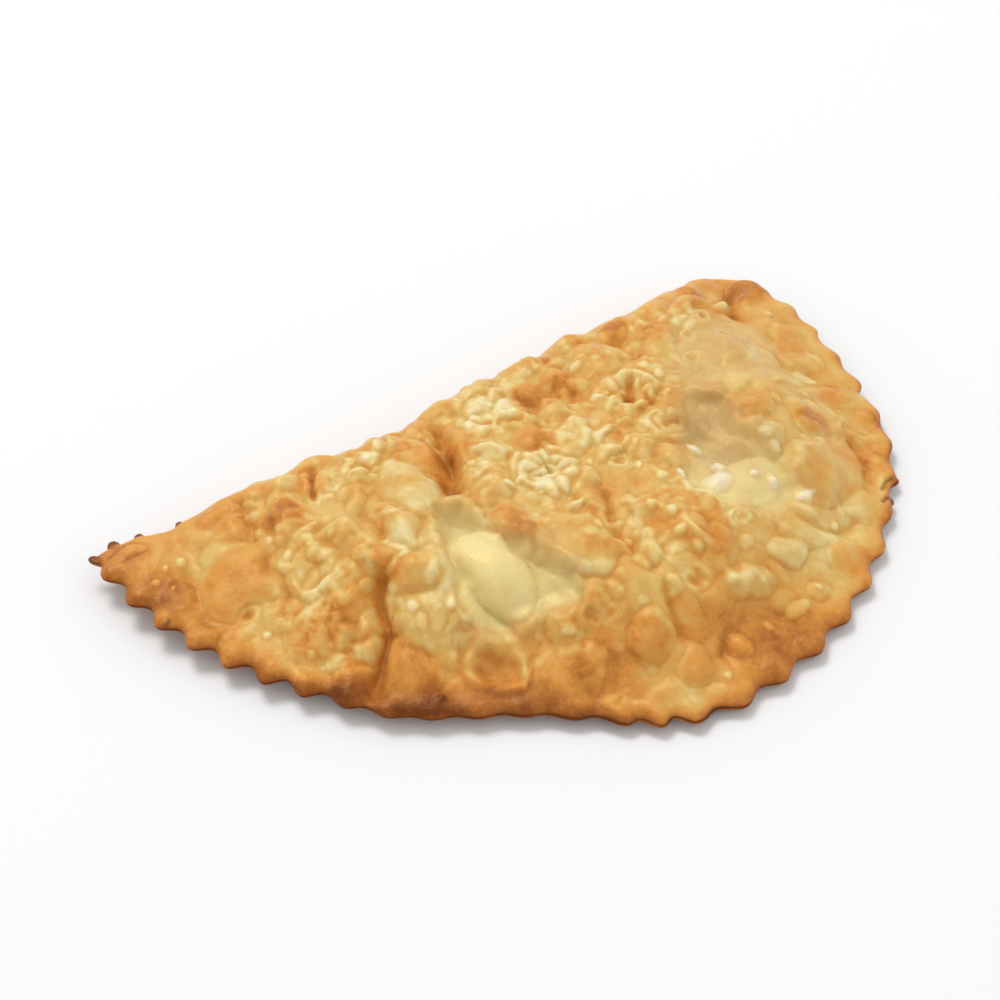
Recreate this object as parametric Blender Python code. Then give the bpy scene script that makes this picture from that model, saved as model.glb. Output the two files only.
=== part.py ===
"""Cheburek: a fried half-moon turnover, modelled as one closed solid.

A round of dough is folded over its filling along a straight line and sealed along the curved side
with a fluted cut. It lies on its flat underside. Everything is worked out in millimetres and turned
to metres at the end, with the fold along X, the sealed arc toward -Y and +Z up.
"""
import math

import bpy
import numpy as np
from mathutils import Vector
from mathutils.geometry import delaunay_2d_cdt

for old in list(bpy.data.objects):
    bpy.data.objects.remove(old, do_unlink=True)

# Plan of the pasty: the sealed arc's reach from the middle of the fold line, and the fold line itself
FOLD_MIDDLE = (0.0, 47.0)
ARC_ANGLES = (180, 195, 210, 222, 231, 240, 249, 258, 264, 270, 285, 300, 315, 325, 335, 345, 353, 360)
ARC_RADII = (
    95.0, 92.8, 90.7, 90.3, 91.5, 90.5, 90.8, 95.5, 100.7, 104.4, 107.0, 106.4, 104.6, 103.3, 98.8, 94.2,
    91.8, 88.5,
)
FOLD_X = (
    -95.8, -90, -84, -77, -71, -63, -55, -47, -38, -30, -22, -14, -6, 2, 9, 17, 23, 29, 35, 41, 49,
    57, 65, 74, 80, 85, 88.5,
)
FOLD_Y = (
    48.6, 50.0, 49.4, 47.2, 47.2, 48.0, 48.6, 46.2, 46.8, 44.9, 44.6, 45.4, 47.6, 49.1, 48.9, 49.7,
    49.6, 51.0, 50.1, 51.8, 50.9, 52.7, 53.8, 56.4, 55.6, 51.6, 49.0,
)
CORNER_ROUND = 2.0
DIRECTION_SPAN = 7.0          # how far the edge's outward direction is evened out

# Fluted cut of the sealed arc: how many flutes have passed at each angle, and how deep they are
FLUTE_ANGLES = (180.0, 217.5, 261.0, 269.0, 319.0, 360.0)
FLUTE_COUNTS = (-0.4, 6.0, 13.0, 15.0, 23.0, 30.0)
FLUTE_DEPTH_ANGLES = (180.0, 215.0, 232.0, 252.0, 266.0, 300.0, 322.0, 360.0)
FLUTE_DEPTHS = (1.4, 1.5, 0.4, 0.4, 1.2, 1.2, 0.6, 0.7)

# Heights
RIM_THICKNESS = 3.4
RIM_LIFT_ANGLES = (180, 195, 210, 240, 270, 315, 330, 345, 360)
RIM_LIFTS = (7.0, 6.0, 5.0, 4.0, 3.0, 3.0, 3.5, 4.5, 5.5)
FOLD_LIFT = 8.0
CROWN = 20.4                  # height of the filled middle before its blisters
LEFT_TIP_DROP = 9.5
RIGHT_TIP_DROP = 3.5
FOLD_ROUND_TOP = 11.0
FOLD_ROUND_UNDER = 9.0
SEAM_DEPTH = 0.7

# Curls of the lower leaf that stick out from under the upper one: x, y, reach
LOWER_CURLS = (
    (-95.5, 48.6, 2.4), (-89.5, 50, 1.6), (-83.5, 49.3, 1.6), (-74, 47.2, 1.6),
    (78, -22, 2.0), (74, -27, 2.0),
)
CURL_WIDTH = 2.4

# Mesh spacing
EDGE_STEP = 1.75
TOP_STEP = 2.14
UNDER_STEP = 4.6

# Blisters with a whole dome: x, y, length, width, turn in degrees, height
BLISTERS = (
    (-71, 24, 19, 19, 0, 1.8), (-66, 37, 11, 8, 10, 1.9), (-55, 32, 10, 9, 0, 2.0),
    (-84, 28, 9, 12, 0, 1.0), (-62, 3, 17, 16, 0, 2.2), (-50, 41, 9, 6, 0, 1.3),
    (-45, 37, 11, 9, 50, 1.8), (-57, 15, 12, 11, 0, 1.6), (-28, 22, 23, 13, 95, 3.0),
    (-39, 26, 10, 6, 60, 1.8), (-43, 7, 6, 7, 90, 1.6), (-37, 9, 8, 8, 0, 1.4),
    (-38, -1, 17, 10, -5, 3.0), (-41, -11, 17, 14, -40, 2.4), (-51, -16, 17, 12, -35, 1.8),
    (-61, -13, 11, 12, 0, 1.8), (-55, -7, 6, 6, 0, 1.8), (-62, -6, 6, 5, 0, 1.2),
    (-22, -35, 20, 13, -15, 2.8), (-12, -27, 12, 6, -15, 1.4), (-2, -39, 9, 9, 0, 2.6),
    (-5, -13, 23, 16, 105, 2.8), (-14, -1, 13, 10, 100, 2.4), (-20, 31, 15, 11, 100, 2.6),
    (-11, 29, 13, 7, 70, 2.0), (-5, 21, 9, 7, -50, 1.8), (-12, 11, 13, 9, 20, 1.6), (3, 19, 9, 9, 0, 2.2),
    (0, 38, 9, 8, 90, 2.0), (5, 33, 8, 6, 80, 1.6), (12, 35, 9, 8, 0, 1.7), (14, 26, 9, 6, 80, 1.8),
    (20, 37, 9, 9, 0, 2.2), (31, 37, 16, 13, 20, 2.4), (12, 15, 13, 9, 60, 2.0), (33, 8, 13, 9, -60, 2.0),
    (24, 4, 9, 8, 0, 1.5), (49, 14, 8, 11, 10, 1.7), (50, 37, 13, 9, 40, 1.4), (62, 43, 17, 7, 12, 1.6),
    (73, 42, 9, 5, 25, 2.0), (84, 47, 10, 9, 0, 1.6), (87, 34, 7, 9, 100, 1.2), (81, 25, 16, 9, 55, 1.3),
    (76, 13, 5, 8, 30, 1.2), (79, 5, 14, 8, -15, 1.4), (66, -4, 12, 8, 25, 1.5), (84, -4, 5, 9, 0, 1.2),
    (51, 3, 17, 9, 0, 1.6), (62, -17, 25, 17, 5, 3.0), (66, -27, 11, 10, 0, 1.6), (8, -5, 10, 8, 0, 1.4),
    (54, -38, 12, 11, 0, 2.4), (39, -33, 11, 6, -5, 1.8), (25, -37, 15, 7, -8, 1.8),
    (16, -38, 8, 7, 0, 1.3), (41, -43, 8, 6, 0, 1.2), (17, -48, 5, 5, 0, 1.6), (66, -36, 8, 8, 0, 1.2),
    (45, -30, 14, 8, 0, 1.2), (5, -48, 9, 8, 0, 1.2), (-57, 44, 9, 6, 0, 1.5), (-42, 43, 12, 7, 0, 1.8),
    (-32, 41, 8, 6, 0, 1.2), (-25, 41, 6, 6, 0, 1.0), (-8, 44, 8, 7, 0, 1.5), (3, 45, 9, 7, 0, 1.5),
    (14, 45, 10, 7, 0, 1.5), (22, 44, 6, 6, 0, 0.8), (31, 46, 12, 7, 0, 1.8), (43, 46, 8, 6, 0, 1.1),
    (55, 47, 10, 7, 0, 1.3), (67, 49, 9, 6, 0, 1.2), (-68, 43, 8, 5, 0, 0.9), (-17, 40, 7, 6, 0, 1.3),
)

# Blisters whose top fell in: x, y, length, width, turn, height of the wall, depth of the dip
FALLEN_BLISTERS = (
    (-33, -26, 14, 13, -10, 2.4, 2.6), (1, 9, 13, 14, 0, 2.4, 2.6), (31, 21, 19, 15, -25, 2.6, 2.4),
    (20, -20, 23, 17, -60, 2.8, 1.8), (-61, 3, 14, 13, 0, 1.6, 1.0), (-56, 15, 9, 8, 0, 1.3, 1.0),
    (-73, 15, 7, 4, -5, 0.2, 0.7), (14, -33, 7, 5, -20, 1.0, 0.9), (-3, 32, 8, 7, 40, 1.4, 1.2),
)

# Places that stayed smooth: x, y, radius and how smooth
CALM_PLACES = (
    (-86, 30, 15, 0.9), (-72, 25, 11, 0.9), (-74, 8, 9, 0.7), (16, -44, 16, 0.75), (35, -40, 16, 0.75),
    (52, -30, 16, 0.7), (62, -18, 14, 0.75), (80, 5, 14, 0.7), (80, 25, 10, 0.6), (62, 22, 15, 0.6),
    (-52, -20, 11, 0.8), (-22, -38, 12, 0.6), (-5, -12, 9, 0.7), (-28, 22, 9, 0.5), (33, 9, 7, 0.5),
    (-24, -10, 13, 1.0), (41, -10, 12, 0.9), (0, -48, 14, 0.6), (-33, -27, 9, 0.9), (72, -12, 9, 0.5),
)

# Thin dough drawn down onto the filling: depth, then the outline
SUNKEN_PANES = (
    (3.4, ((-26, 12), (-21, 9), (-20, 3), (-18, -2), (-14, -7), (-11, -13), (-9.5, -20), (-11, -25),
           (-18, -22.5), (-24, -21.5), (-30, -20.5), (-33.5, -18), (-34, -10), (-32, -4), (-30, 1),
           (-29.5, 6))),
    (2.8, ((45, 15), (48, 8), (48.5, -3), (49, -10), (51, -16), (54, -22), (46, -24.5), (37, -23),
           (30, -20.5), (28, -14), (28, -8), (32, -4), (35, 3), (39, 10))),
    (1.3, ((52, 34), (62, 37), (71, 36), (75, 28), (74, 19), (78, 12), (72, 9), (60, 11), (50, 9),
            (46, 14), (47, 22), (44, 27))),
)

# The filling pushes the thin dough up again: x, y, length, width, turn, height
FILLING_BULGES = (
    (-23.6, -8.0, 34, 13.5, 106, 5.2), (38, -15, 18, 12, 0, 1.6), (43, -19, 15, 8, 0, 1.0),
)

# Creases between blisters: width, depth, then the points they run through
CREASES = (
    (2.6, 4.4, ((-46, 3), (-49, -1), (-51, -8), (-56, -13), (-61, -19))),
    (1.9, 4.6, ((-12, 37), (-14, 30), (-17, 23), (-19.5, 17))),
    (1.6, 2.0, ((-43, 39), (-45, 36), (-47, 32.5))),
    (1.6, 2.4, ((9, -4), (7, -9), (4, -17))),
    (2.2, 2.0, ((41, 34), (42, 38), (41, 42))),
    (1.6, 3.0, ((79, 46), (77.5, 42), (76, 38.5))),
    (1.8, 1.8, ((76, -9), (74.5, -15), (73.5, -21))),
    (2.4, 2.0, ((17, 30), (22, 28))),
    (2.0, 1.4, ((13, -47), (20, -44), (30, -45))),
    (2.2, 1.6, ((37, 7), (38, 2), (40, -4))),
)

# Bubbles strewn over the rest
BUBBLE_SEED = 11
BUBBLE_COUNT = 420
BUBBLE_RADII = (1.8, 5.0)
BUBBLE_STEEPNESS = 0.46
BUBBLE_FIELD = (0.0, -4.0, 190.0, 116.0)


def smooth(start, end, value):
    """Ease from 0 at start to 1 at end."""
    t = np.clip((value - start) / (end - start), 0.0, 1.0)
    return t * t * (3.0 - 2.0 * t)


def curve(at, marks, values):
    """Smooth curve through a few named sizes, held level past both ends."""
    marks = np.asarray(marks, float)
    values = np.asarray(values, float)
    at = np.clip(np.asarray(at, float), marks[0], marks[-1])
    i = np.clip(np.searchsorted(marks, at, side="right") - 1, 0, len(marks) - 2)
    slope = np.gradient(values, marks)
    gap = marks[i + 1] - marks[i]
    u = (at - marks[i]) / gap
    ends = values[i] * (1 + 2 * u) * (1 - u) ** 2 + values[i + 1] * u * u * (3 - 2 * u)
    return ends + gap * u * (1 - u) * (slope[i] * (1 - u) - slope[i + 1] * u)


def round_the_middle(x, y):
    """Angle and distance from the middle of the fold; past the fold the angle stays at its tip."""
    dx = x - FOLD_MIDDLE[0]
    dy = y - FOLD_MIDDLE[1]
    angle = np.degrees(np.arctan2(dy, dx)) % 360.0
    angle = np.where(angle < 90.0, 360.0, np.where(angle < 180.0, 180.0, angle))
    return angle, np.hypot(dx, dy)


def in_from_edges(x, y):
    """Distance in from the sealed arc and from the fold."""
    angle, reach = round_the_middle(x, y)
    return curve(angle, ARC_ANGLES, ARC_RADII) - reach, curve(x, FOLD_X, FOLD_Y) - y


def rounding(distance, radius):
    """Quarter round: 0 at the edge, 1 past the radius."""
    return np.sqrt(1 - (1 - np.clip(distance / radius, 0, 1)) ** 2)


def edge_lift(x, y):
    """Height of the middle of the edge's thickness: the rim's own, or the fold's."""
    angle, _ = round_the_middle(x, y)
    arc_in, fold_in = in_from_edges(x, y)
    at_fold = smooth(4, 30, arc_in) * (1 - smooth(0, 14, fold_in))
    rim = curve(angle, RIM_LIFT_ANGLES, RIM_LIFTS)
    return rim + (FOLD_LIFT - rim) * at_fold


def filled_height(x, y):
    """The upper leaf before it blisters."""
    arc_in, fold_in = in_from_edges(x, y)
    edge = edge_lift(x, y) + RIM_THICKNESS / 2
    crown = CROWN - LEFT_TIP_DROP * smooth(-30, -92, x) - RIGHT_TIP_DROP * smooth(60, 92, x)
    shoulder = rounding(fold_in, FOLD_ROUND_TOP) * (0.68 + 0.32 * smooth(4, 34, fold_in))
    return edge + (crown - edge) * smooth(4, 34, arc_in) * shoulder


def under_height(x, y):
    """Flat on the table inside, curling up to the rim and the fold."""
    arc_in, fold_in = in_from_edges(x, y)
    inside = smooth(2, 16, arc_in) * rounding(fold_in, FOLD_ROUND_UNDER)
    return (edge_lift(x, y) - RIM_THICKNESS / 2) * (1 - inside)


def in_oval(x, y, cx, cy, length, width, turn):
    """0 at the middle of a turned oval, 1 on its edge."""
    c = math.cos(math.radians(turn))
    s = math.sin(math.radians(turn))
    along = (x - cx) * c + (y - cy) * s
    across = (y - cy) * c - (x - cx) * s
    return np.hypot(along / (length / 2), across / (width / 2))


def off_line(x, y, points):
    """Distance from a line of several points."""
    best = np.full(x.shape, 1e9)
    for (ax, ay), (bx, by) in zip(points, points[1:]):
        run = (bx - ax) ** 2 + (by - ay) ** 2
        t = np.clip(((x - ax) * (bx - ax) + (y - ay) * (by - ay)) / run, 0.0, 1.0)
        best = np.minimum(best, np.hypot(x - ax - t * (bx - ax), y - ay - t * (by - ay)))
    return best


def in_outline(x, y, points):
    """Distance in from a closed outline, negative outside it."""
    inside = np.zeros(x.shape, bool)
    for (ax, ay), (bx, by) in zip(points, points[1:] + points[:1]):
        between = (ay > y) != (by > y)
        rise = by - ay if by != ay else 1e-9
        inside ^= between & (x < ax + (y - ay) * (bx - ax) / rise)
    return np.where(inside, 1.0, -1.0) * off_line(x, y, points + points[:1])


def join(a, b, soft=0.5):
    """The higher of two surfaces, softened where they meet."""
    return np.maximum(a, b) + np.maximum(soft - np.abs(a - b), 0.0) ** 2 / (4 * soft)


def swell(x, y, size, seed):
    """Gentle unevenness of about the given size, between -1 and 1."""
    draw = np.random.RandomState(seed)
    total = np.zeros(np.shape(x))
    for _ in range(7):
        way = draw.uniform(0, 2 * math.pi)
        wave = 2 * math.pi / (size * draw.uniform(0.8, 1.6))
        total += np.sin(wave * (x * math.cos(way) + y * math.sin(way)) + draw.uniform(0, 2 * math.pi))
    return total / 3.5


def strewn_bubbles():
    draw = np.random.RandomState(BUBBLE_SEED)
    low, high = BUBBLE_RADII
    cx, cy, length, width = BUBBLE_FIELD
    for _ in range(BUBBLE_COUNT):
        way = draw.uniform(0, 2 * math.pi)
        out = math.sqrt(draw.uniform()) / 2
        radius = low + (high - low) * draw.uniform() ** 2
        draw.uniform()
        yield (cx + length * out * math.cos(way), cy + width * out * math.sin(way), 2 * radius,
               2 * radius * draw.uniform(0.7, 1.0), draw.uniform(0, 180), BUBBLE_STEEPNESS * radius)


def blistered_skin(x, y):
    """Blisters, bubbles, sunken panes and creases of the browned crust, outward from the plain leaf."""
    wx = x + 0.7 * swell(x, y, 11, 3) + 0.3 * swell(x, y, 4.5, 5)
    wy = y + 0.7 * swell(x, y, 11, 4) + 0.3 * swell(x, y, 4.5, 6)
    calm = np.zeros(np.shape(x))
    for cx, cy, radius, strength in CALM_PLACES:
        calm = np.maximum(calm, strength * np.exp(-(np.hypot(x - cx, y - cy) / radius) ** 4))
    skin = np.zeros(np.shape(x))
    for cx, cy, length, width, turn, height in strewn_bubbles():
        d = in_oval(wx, wy, cx, cy, length, width, turn)
        skin = join(skin, height * np.clip(1 - d * d, 0, 1), 0.3)
    skin = skin * (1 - 0.8 * calm)
    for cx, cy, length, width, turn, height in BLISTERS:
        d = in_oval(wx, wy, cx, cy, length, width, turn)
        skin = join(skin, height * np.clip(1 - d * d, 0, 1) ** 0.72)
    for cx, cy, length, width, turn, wall, dip in FALLEN_BLISTERS:
        d = in_oval(wx, wy, cx, cy, length, width, turn)
        bowl = wall * smooth(1.25, 0.82, d) - (dip + 0.4 * wall) * smooth(0.86, 0.1, d)
        inside = smooth(1.25, 0.95, d)
        skin = skin * (1 - inside) + bowl * inside
    for depth, outline in SUNKEN_PANES:
        floor = smooth(-0.9, 2.0, in_outline(wx, wy, outline))
        skin = skin * (1 - 0.9 * floor) - depth * floor
    for cx, cy, length, width, turn, height in FILLING_BULGES:
        d = in_oval(x, y, cx, cy, length, width, turn)
        skin = skin + height * np.clip(1 - d * d, 0, 1) ** 0.8
    for width, depth, points in CREASES:
        skin = skin - depth * np.exp(-(off_line(wx, wy, points) / (1.35 * width)) ** 1.5)
    skin = skin + 0.5 * swell(x, y, 15, 8) + 0.3 * swell(x, y, 7, 9)
    arc_in, fold_in = in_from_edges(x, y)
    return skin * smooth(-0.5, 8, arc_in) * (0.6 + 0.4 * smooth(-1, 5, fold_in))


def eased(values, reach, share):
    """Values round a closed ring, evened out over the given number of neighbours."""
    reach = max(1, int(round(reach)))
    weights = np.hanning(2 * reach + 3)[1:-1]
    around = np.concatenate([values[-reach:], values, values[:reach]])
    return values + (np.convolve(around, weights / weights.sum(), "valid") - values) * share


def plan_outline(step):
    """Even points round the plan, their outward directions, and how much each is on the fold and at a tip."""
    left = 180.0 + math.degrees(math.atan2(FOLD_MIDDLE[1] - FOLD_Y[0], FOLD_MIDDLE[0] - FOLD_X[0]))
    right = 360.0 + math.degrees(math.atan2(FOLD_Y[-1] - FOLD_MIDDLE[1], FOLD_X[-1] - FOLD_MIDDLE[0]))
    angle = np.linspace(left, right, 900)
    reach = curve(angle, ARC_ANGLES, ARC_RADII)
    count = np.interp(angle, FLUTE_ANGLES, FLUTE_COUNTS)
    depth = np.interp(angle, FLUTE_DEPTH_ANGLES, FLUTE_DEPTHS)
    ends = smooth(left, left + 2, angle) * (1 - smooth(right - 3, right, angle))
    reach = reach + depth * ends * np.cos(2 * math.pi * count)
    turn = np.radians(angle)
    arc = np.stack([FOLD_MIDDLE[0] + reach * np.cos(turn), FOLD_MIDDLE[1] + reach * np.sin(turn)], -1)
    x = np.linspace(FOLD_X[-1], FOLD_X[0], 500)
    waver = 0.5 * swell(x, 0 * x, 9, 21) * smooth(FOLD_X[0], -80, x) * (1 - smooth(80, FOLD_X[-1], x))
    fold = np.stack([x, curve(x, FOLD_X, FOLD_Y) + waver], -1)
    ring = np.concatenate([arc, fold, arc[:1]])
    on_fold = np.concatenate([np.zeros(len(arc)), np.ones(len(fold)), [0.0]])
    along = np.concatenate([[0.0], np.cumsum(np.hypot(*np.diff(ring, axis=0).T))])
    total = int(round(along[-1] / step))
    even = np.linspace(0, along[-1], total, endpoint=False)
    columns = [np.interp(even, along, v) for v in (ring[:, 0], ring[:, 1], on_fold)]
    tip = smooth(4.0, 0.5, np.abs(in_from_edges(columns[0], columns[1])).max(axis=0))
    points = np.stack([eased(v, CORNER_ROUND / step, np.maximum(tip, 0.15)) for v in columns[:2]], -1)
    broad = np.stack([eased(v, DIRECTION_SPAN / step, 1.0) for v in points.T], -1)
    tangent = np.roll(broad, -1, axis=0) - np.roll(broad, 1, axis=0)
    tangent = tangent / np.hypot(tangent[:, :1], tangent[:, 1:])
    return points, np.stack([tangent[:, 1], -tangent[:, 0]], -1), eased(columns[2], 2, 1.0), tip


# The edge's cross-section from the upper leaf down to the lower: inset on the sealed side, inset on the
# fold, share of half the thickness, and how much of a curl the level takes
EDGE_SECTION = (
    (1.9, 1.5, 1.0, 0.0), (0.3, 0.35, 0.6, 0.0), (SEAM_DEPTH, 0.0, 0.0, 0.6), (0.1, 0.35, -0.55, 1.0),
    (1.5, 1.5, -1.0, 0.8),
)


def edge_rings(step):
    points, outward, on_fold, tip = plan_outline(step)
    curl = np.zeros(len(points))
    for x, y, out in LOWER_CURLS:
        curl = curl + out * np.exp(-(np.hypot(points[:, 0] - x, points[:, 1] - y) / CURL_WIDTH) ** 2)
    plans = []
    for sealed_in, fold_in, _, curled in EDGE_SECTION:
        inset = (sealed_in + (fold_in - sealed_in) * on_fold) * (1 - 0.6 * tip) - curl * curled
        plans.append(points - outward * inset[:, None])
    upper = filled_height(*plans[0].T)
    lower = under_height(*plans[-1].T)
    middle = (upper + lower) / 2
    half = (upper - lower) / 2
    return [np.column_stack([plan, middle + part[2] * half]) for plan, part in zip(plans, EDGE_SECTION)]


def leaf(ring, step, height):
    """Triangles filling a ring, with a staggered grid of points inside it."""
    total = len(ring)
    low = ring[:, :2].min(axis=0)
    high = ring[:, :2].max(axis=0)
    rows = np.arange(low[1], high[1], step * math.sqrt(0.75))
    columns = np.arange(low[0], high[0], step)
    grid = np.array([(x + (i % 2) * step / 2, y) for i, y in enumerate(rows) for x in columns])
    arc_in, fold_in = in_from_edges(*grid.T)
    grid = grid[(arc_in > -3) & (fold_in > -3)]
    grid = grid[inside_ring(grid, ring[:, :2], 0.62 * step)]
    plan = [Vector(p) for p in np.concatenate([ring[:, :2], grid])]
    rim = [(i, (i + 1) % total) for i in range(total)]
    _, _, faces, _, _, _ = delaunay_2d_cdt(plan, rim, [], 1, 1e-6)
    return np.column_stack([grid, height(*grid.T)]), faces


def inside_ring(points, ring, clearance):
    """Which points lie inside the ring and clear of it."""
    keep = np.zeros(len(points), bool)
    after = np.roll(ring, -1, axis=0)
    for start in range(0, len(points), 4000):
        p = points[start:start + 4000]
        gap = np.hypot(p[:, None, 0] - ring[None, :, 0], p[:, None, 1] - ring[None, :, 1]).min(axis=1)
        above = (ring[None, :, 1] > p[:, None, 1]) != (after[None, :, 1] > p[:, None, 1])
        rise = np.where(after[:, 1] == ring[:, 1], 1e-9, after[:, 1] - ring[:, 1])
        cross = ring[:, 0] + (p[:, None, 1] - ring[:, 1]) * (after[:, 0] - ring[:, 0]) / rise
        inside = (above & (p[:, None, 0] < cross)).sum(axis=1) % 2 == 1
        keep[start:start + 4000] = inside & (gap > clearance)
    return keep


def outward_normals(points, faces):
    corners = points[faces]
    facing = np.cross(corners[:, 1] - corners[:, 0], corners[:, 2] - corners[:, 0])
    sums = [np.bincount(faces.ravel(), np.repeat(facing[:, i], 3), len(points)) for i in range(3)]
    normals = np.stack(sums, -1)
    return normals / np.linalg.norm(normals, axis=1)[:, None]


def build():
    rings = edge_rings(EDGE_STEP)
    total = len(rings[0])
    last = len(rings) - 1
    points = [np.concatenate(rings)]
    faces = []
    for level in range(last):
        for i in range(total):
            a = level * total + i
            b = level * total + (i + 1) % total
            faces.append((a, a + total, b + total))
            faces.append((a, b + total, b))
    counts = []
    for level, step, height in ((0, TOP_STEP, filled_height), (last, UNDER_STEP, under_height)):
        inner, triangles = leaf(rings[level], step, height)
        start = sum(len(p) for p in points)
        points.append(inner)
        counts.append(len(inner))
        for triangle in triangles:
            t = [level * total + v if v < total else start + v - total for v in triangle]
            faces.append(tuple(t) if level == 0 else tuple(reversed(t)))
    points = np.concatenate(points)
    faces = np.array(faces)
    upper_leaf = np.zeros(len(points))
    upper_leaf[:total] = 1.0
    upper_leaf[total:2 * total] = 0.5
    upper_leaf[(last + 1) * total:(last + 1) * total + counts[0]] = 1.0
    skin = blistered_skin(points[:, 0], points[:, 1]) * upper_leaf
    points = points + outward_normals(points, faces) * skin[:, None]
    low = points.min(axis=0)
    high = points.max(axis=0)
    points = points - np.array([(low[0] + high[0]) / 2, (low[1] + high[1]) / 2, low[2]])
    mesh = bpy.data.meshes.new("crust")
    mesh.from_pydata((points / 1000.0).tolist(), [], faces.tolist())
    mesh.validate()
    crust = bpy.data.objects.new("crust", mesh)
    bpy.context.scene.collection.objects.link(crust)
    material = bpy.data.materials.new("crust")
    material.use_nodes = True
    shader = material.node_tree.nodes["Principled BSDF"]
    shader.inputs["Base Color"].default_value = (0.72, 0.44, 0.14, 1.0)
    shader.inputs["Roughness"].default_value = 0.45
    mesh.materials.append(material)
    return crust


build()
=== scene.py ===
import math

import bpy
import numpy as np
from mathutils import Matrix, Vector
from mathutils.geometry import delaunay_2d_cdt


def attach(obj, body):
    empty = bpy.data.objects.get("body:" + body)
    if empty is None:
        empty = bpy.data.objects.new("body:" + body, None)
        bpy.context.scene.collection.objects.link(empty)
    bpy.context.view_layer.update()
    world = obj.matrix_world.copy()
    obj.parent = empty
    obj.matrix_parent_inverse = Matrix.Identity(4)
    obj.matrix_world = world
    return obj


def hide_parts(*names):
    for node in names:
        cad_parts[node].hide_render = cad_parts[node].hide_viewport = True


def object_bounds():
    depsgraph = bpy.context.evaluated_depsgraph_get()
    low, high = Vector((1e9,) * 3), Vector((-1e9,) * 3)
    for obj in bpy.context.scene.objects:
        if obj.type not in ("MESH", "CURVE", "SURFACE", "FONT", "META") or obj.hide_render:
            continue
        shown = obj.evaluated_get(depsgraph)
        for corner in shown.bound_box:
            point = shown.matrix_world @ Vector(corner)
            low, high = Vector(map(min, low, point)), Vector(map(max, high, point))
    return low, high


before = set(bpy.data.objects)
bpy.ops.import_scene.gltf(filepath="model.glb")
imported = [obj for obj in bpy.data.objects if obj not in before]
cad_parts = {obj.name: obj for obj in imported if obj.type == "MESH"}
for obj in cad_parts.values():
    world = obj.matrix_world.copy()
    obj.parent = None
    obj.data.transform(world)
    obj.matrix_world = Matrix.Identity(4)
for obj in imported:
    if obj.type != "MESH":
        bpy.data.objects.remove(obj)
cad_low, cad_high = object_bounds()

# The cheburek's base: a thin round of wheat dough folded along a straight line over its filling, so the
# closed side is a plain round fold and the open side an arc. The filled middle stands up, both tips thin
# out and lift off the table, and the underside is flat where it rests. All sizes are in millimetres.

FOLD_MIDDLE = (0.0, 47.0)
# The arc: how far it is from the middle of the fold at each angle. The fold: its line along x.
ARC_ANGLES = (180, 195, 210, 222, 231, 240, 249, 258, 264, 270, 285, 300, 315, 325, 335, 345, 353, 360)
ARC_RADII = (95.0, 92.8, 90.7, 90.3, 91.5, 90.5, 90.8, 95.5, 100.7, 104.4, 107.0, 106.4, 104.6, 103.3,
             98.8, 94.2, 91.8, 88.5)
FOLD_X = (-95.8, -90, -84, -77, -71, -63, -55, -47, -38, -30, -22, -14, -6, 2, 9, 17, 23, 29, 35, 41, 49,
          57, 65, 74, 80, 85, 88.5)
FOLD_Y = (48.6, 50.0, 49.4, 47.2, 47.2, 48.0, 48.6, 46.2, 46.8, 44.9, 44.6, 45.4, 47.6, 49.1, 48.9, 49.7,
          49.6, 51.0, 50.1, 51.8, 50.9, 52.7, 53.8, 56.4, 55.6, 51.6, 49.0)
# How far the edge and the fold are lifted off the table, and how high the filling stands up
RIM_THICKNESS = 3.4
RIM_LIFT_ANGLES = (180, 195, 210, 240, 270, 315, 330, 345, 360)
RIM_LIFTS = (7.0, 6.0, 5.0, 4.0, 3.0, 3.0, 3.5, 4.5, 5.5)
FOLD_LIFT = 8.0
CROWN = 20.0
LEFT_TIP_DROP = 9.5
RIGHT_TIP_DROP = 3.5
FOLD_ROUND_TOP = 11.0
FOLD_ROUND_UNDER = 9.0


def smooth(start, end, value):
    """Ease from 0 at start to 1 at end."""
    t = np.clip((value - start) / (end - start), 0.0, 1.0)
    return t * t * (3.0 - 2.0 * t)


def curve(at, marks, values):
    """Smooth curve through a few named sizes, held level past both ends."""
    marks = np.asarray(marks, float)
    values = np.asarray(values, float)
    at = np.clip(np.asarray(at, float), marks[0], marks[-1])
    i = np.clip(np.searchsorted(marks, at, side="right") - 1, 0, len(marks) - 2)
    slope = np.gradient(values, marks)
    gap = marks[i + 1] - marks[i]
    u = (at - marks[i]) / gap
    ends = values[i] * (1 + 2 * u) * (1 - u) ** 2 + values[i + 1] * u * u * (3 - 2 * u)
    return ends + gap * u * (1 - u) * (slope[i] * (1 - u) - slope[i + 1] * u)


def round_the_middle(x, y):
    """Angle and distance from the middle of the fold; past the fold the angle stays at its tip."""
    dx = x - FOLD_MIDDLE[0]
    dy = y - FOLD_MIDDLE[1]
    angle = np.degrees(np.arctan2(dy, dx)) % 360.0
    angle = np.where(angle < 90.0, 360.0, np.where(angle < 180.0, 180.0, angle))
    return angle, np.hypot(dx, dy)


def in_from_edges(x, y):
    """Distance in from the sealed arc and from the fold."""
    angle, reach = round_the_middle(x, y)
    return curve(angle, ARC_ANGLES, ARC_RADII) - reach, curve(x, FOLD_X, FOLD_Y) - y


def rounding(distance, radius):
    """Quarter round: 0 at the edge, 1 past the radius."""
    return np.sqrt(1 - (1 - np.clip(distance / radius, 0, 1)) ** 2)


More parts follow.
